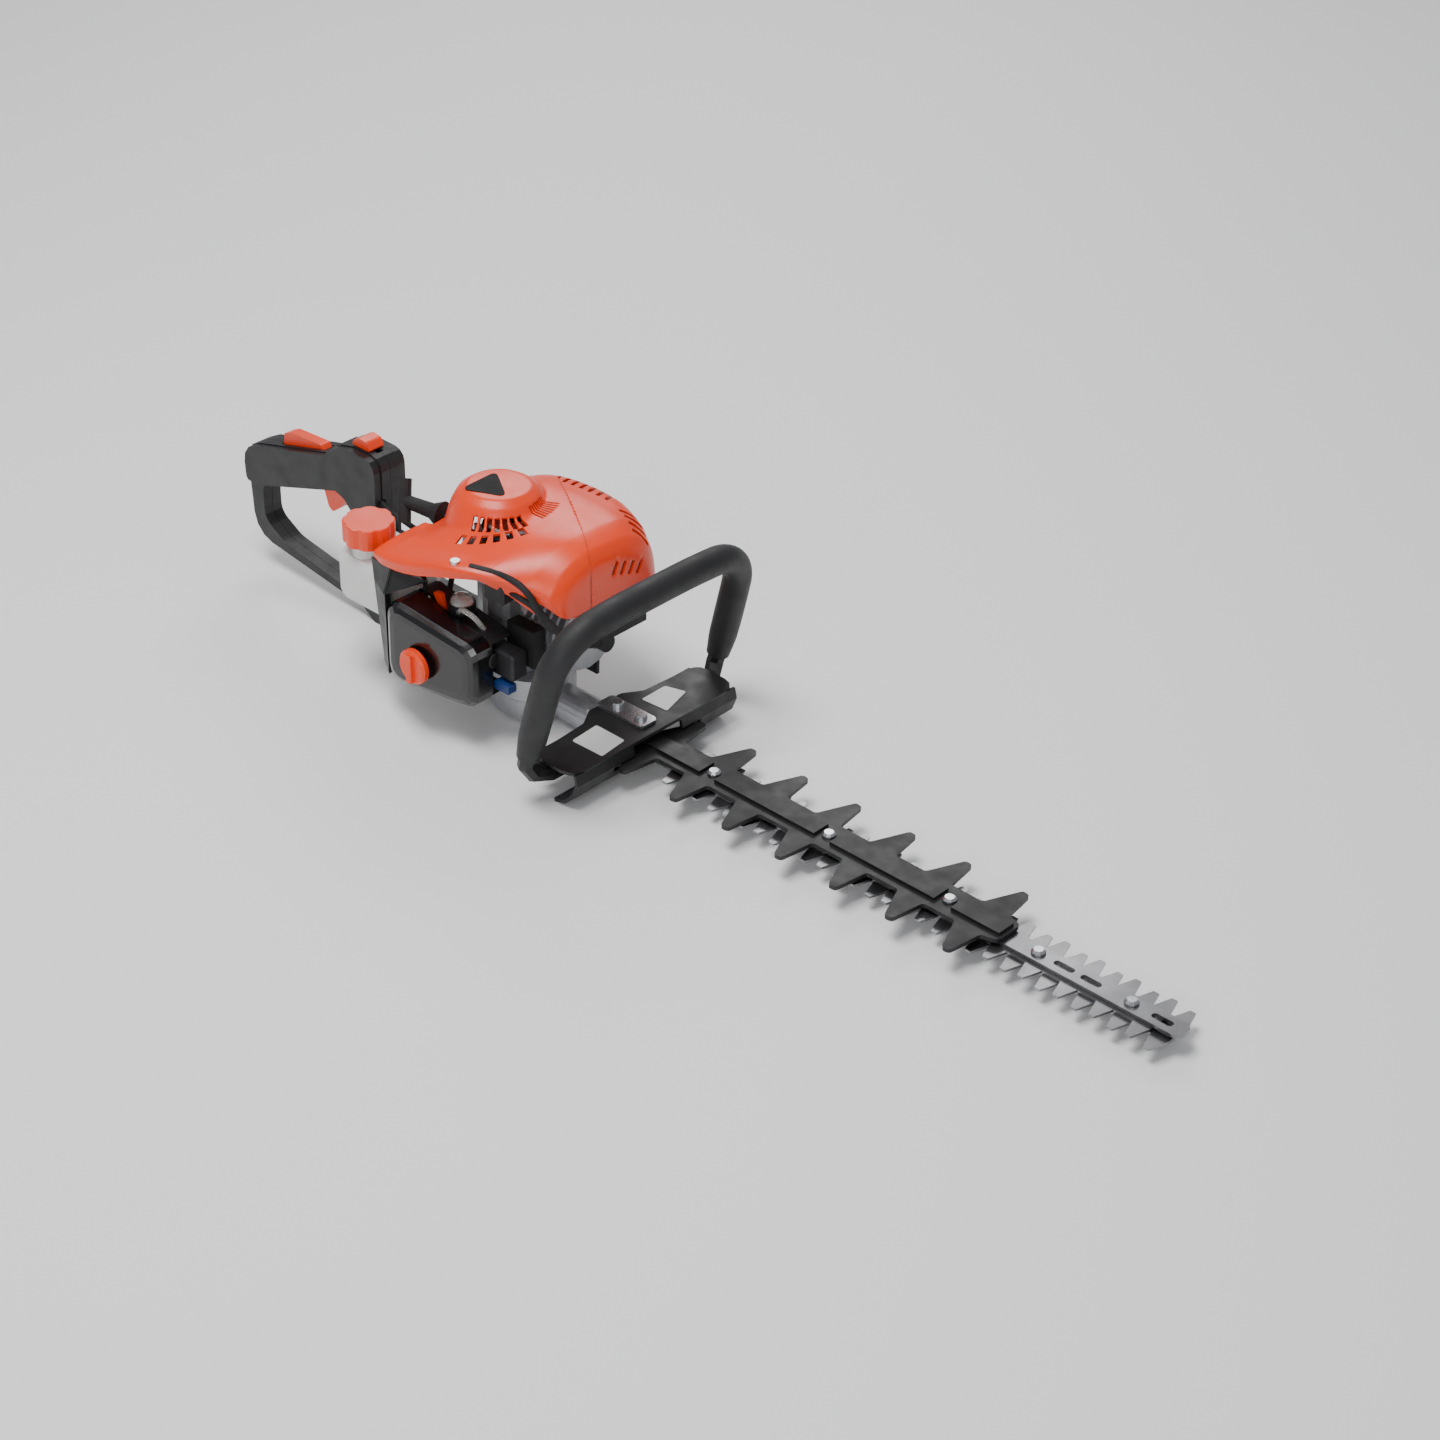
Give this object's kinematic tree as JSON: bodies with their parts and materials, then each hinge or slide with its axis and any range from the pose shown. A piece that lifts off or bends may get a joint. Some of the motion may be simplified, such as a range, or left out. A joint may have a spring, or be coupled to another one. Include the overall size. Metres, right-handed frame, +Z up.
{
  "type": "petrol hedge trimmer",
  "caption": "Petrol hedge trimmer: double-sided reciprocating blades with spiked guard, front loop handle, orange engine covers and D-shaped rear handle.",
  "frame": {"origin": "centre of the bounding box, on the floor the machine stands on", "axes": "+X along the blade towards its tip, +Y to the operator's left, +Z up"},
  "size_m": [0.991, 0.2376, 0.187],
  "materials": {
    "blade_steel": "ground, with fine grinding lines along the blade",
    "bolt_steel": "zinc plated",
    "dark_steel": "phosphated steel",
    "cast_aluminium": "sand-textured die casting",
    "orange_plastic": "satin moulded shell",
    "black_plastic": "satin, fine grain",
    "gloss_black": "gloss moulded cover",
    "rubber_black": "matte ribbed",
    "tank_white": "translucent polyethylene",
    "clear_bulb": "clear flexible polyurethane",
    "foam": "open-cell foam",
    "rope_black": "braided nylon",
    "muffler_steel": "heat-resistant coating"
  },
  "bodies": {
    "machine": {"guide_bar": "blade_steel", "blade_guard": "black_plastic", "air_cleaner_case": "black_plastic", "cleaner_side_panel": "black_plastic", "cylinder_shroud": "black_plastic", "rear_handle_right": "black_plastic", "rear_handle_left": "black_plastic", "rear_frame": "black_plastic", "hand_guard": "black_plastic", "ignition_coil": "black_plastic", "intake_insulator": "black_plastic", "blade_bolt_1": "bolt_steel", "blade_bolt_2": "bolt_steel", "blade_bolt_3": "bolt_steel", "blade_bolt_4": "bolt_steel", "blade_bolt_5": "bolt_steel", "handle_bracket": "bolt_steel", "spark_plug": "bolt_steel", "recoil_spring": "bolt_steel", "gear_bearing": "bolt_steel", "pinion_bearing": "bolt_steel", "crank_bearing": "bolt_steel", "gear_case": "cast_aluminium", "gear_case_cover": "cast_aluminium", "crankcase": "cast_aluminium", "cylinder": "cast_aluminium", "carburetor": "cast_aluminium", "fan_cover": "orange_plastic", "muffler_cover": "orange_plastic", "front_grip": "rubber_black", "spark_plug_boot": "rubber_black", "ignition_lead": "rubber_black", "throttle_cable": "rubber_black", "rear_mount": "rubber_black", "front_handle": "black_plastic", "fuel_tank": "tank_white", "fuel_line": "clear_bulb", "air_filter": "foam", "starter_rope": "rope_black", "muffler": "muffler_steel"},
    "upper_blade": {"upper_blade": "blade_steel"},
    "lower_blade": {"lower_blade": "blade_steel"},
    "drive_gear": {"drive_gear": "dark_steel"},
    "clutch_drum": {"clutch_drum": "dark_steel"},
    "crankshaft": {"crankshaft_lower": "dark_steel", "crankshaft_upper": "dark_steel", "flywheel": "cast_aluminium", "clutch_shoes": "dark_steel"},
    "piston": {"piston": "cast_aluminium", "connecting_rod": "dark_steel"},
    "throttle_trigger": {"throttle_trigger": "orange_plastic"},
    "throttle_lockout": {"throttle_lockout": "orange_plastic"},
    "stop_switch": {"stop_switch": "orange_plastic"},
    "choke_lever": {"choke_lever": "orange_plastic"},
    "primer_bulb": {"primer_bulb": "clear_bulb"},
    "fuel_cap": {"fuel_cap": "orange_plastic"},
    "air_cleaner_cover": {"air_cleaner_cover": "gloss_black"},
    "air_cleaner_knob": {"air_cleaner_knob": "orange_plastic"},
    "starter_grip": {"starter_grip": "rubber_black"},
    "starter_pulley": {"starter_pulley": "black_plastic"}
  },
  "joints": [
    {"name": "blade_drive", "type": "slide", "parent": "machine", "child": "upper_blade", "axis": [1, 0, 0], "range_m": [-0.0065, 0.0065]},
    {"name": "lower_blade_slide", "type": "slide", "parent": "machine", "child": "lower_blade", "axis": [1, 0, 0], "range_m": [-0.0065, 0.0065]},
    {"name": "drive_gear_spin", "type": "hinge", "parent": "machine", "child": "drive_gear", "pos_m": [-0.1548, 0, 0.0225], "axis": [0, 0, 1], "continuous": true},
    {"name": "clutch_drum_spin", "type": "hinge", "parent": "machine", "child": "clutch_drum", "pos_m": [-0.1755, 0, 0.0225], "axis": [0, 0, 1], "continuous": true},
    {"name": "crankshaft_spin", "type": "hinge", "parent": "machine", "child": "crankshaft", "pos_m": [-0.1755, 0, 0.091], "axis": [0, 0, 1], "continuous": true},
    {"name": "piston_stroke", "type": "slide", "parent": "machine", "child": "piston", "axis": [1, 0, 0], "range_m": [0, 0.026]},
    {"name": "trigger_pull", "type": "hinge", "parent": "machine", "child": "throttle_trigger", "pos_m": [-0.3828, 0, 0.118], "axis": [0, 1, 0], "range_deg": [0, 20], "stiffness_Nm_per_rad": 0.35, "springref_deg": -8.59},
    {"name": "lockout_press", "type": "hinge", "parent": "machine", "child": "throttle_lockout", "pos_m": [-0.4038, 0, 0.136], "axis": [0, -1, 0], "range_deg": [0, 9], "stiffness_Nm_per_rad": 0.3, "springref_deg": -11.46},
    {"name": "stop_switch_slide", "type": "slide", "parent": "machine", "child": "stop_switch", "axis": [1, 0, 0], "range_m": [0, 0.006]},
    {"name": "choke_turn", "type": "hinge", "parent": "machine", "child": "choke_lever", "pos_m": [-0.1878, -0.065, 0.091], "axis": [0, -1, 0], "range_deg": [0, 45]},
    {"name": "primer_press", "type": "slide", "parent": "machine", "child": "primer_bulb", "axis": [0, 0, -1], "range_m": [0, 0.0035], "stiffness_N_per_m": 400, "springref_m": -0.0005},
    {"name": "fuel_cap_turn", "type": "hinge", "parent": "machine", "child": "fuel_cap", "pos_m": [-0.2793, -0.062, 0.1265], "axis": [0, 0, 1], "range_deg": [0, 540]},
    {"name": "air_cover_pull", "type": "slide", "parent": "machine", "child": "air_cleaner_cover", "axis": [0, -1, 0], "range_m": [0, 0.06]},
    {"name": "air_knob_turn", "type": "hinge", "parent": "air_cleaner_cover", "child": "air_cleaner_knob", "pos_m": [-0.1868, -0.1006, 0.064], "axis": [0, -1, 0], "range_deg": [0, 720]},
    {"name": "starter_pull", "type": "slide", "parent": "machine", "child": "starter_grip", "axis": [-0.9, -0.4359, 0], "range_m": [0, 0.7], "stiffness_N_per_m": 6, "springref_m": -0.15},
    {"name": "pulley_spin", "type": "hinge", "parent": "machine", "child": "starter_pulley", "pos_m": [-0.1755, 0, 0.148], "axis": [0, 0, -1], "range_deg": [0, 1680]}
  ],
  "couplings": [
    {"joint": "lower_blade_slide", "follows": "blade_drive", "ratio": -1},
    {"joint": "clutch_drum_spin", "follows": "drive_gear_spin", "ratio": -2.25},
    {"joint": "pulley_spin", "follows": "starter_pull", "rad_per_m": 41.67}
  ]
}
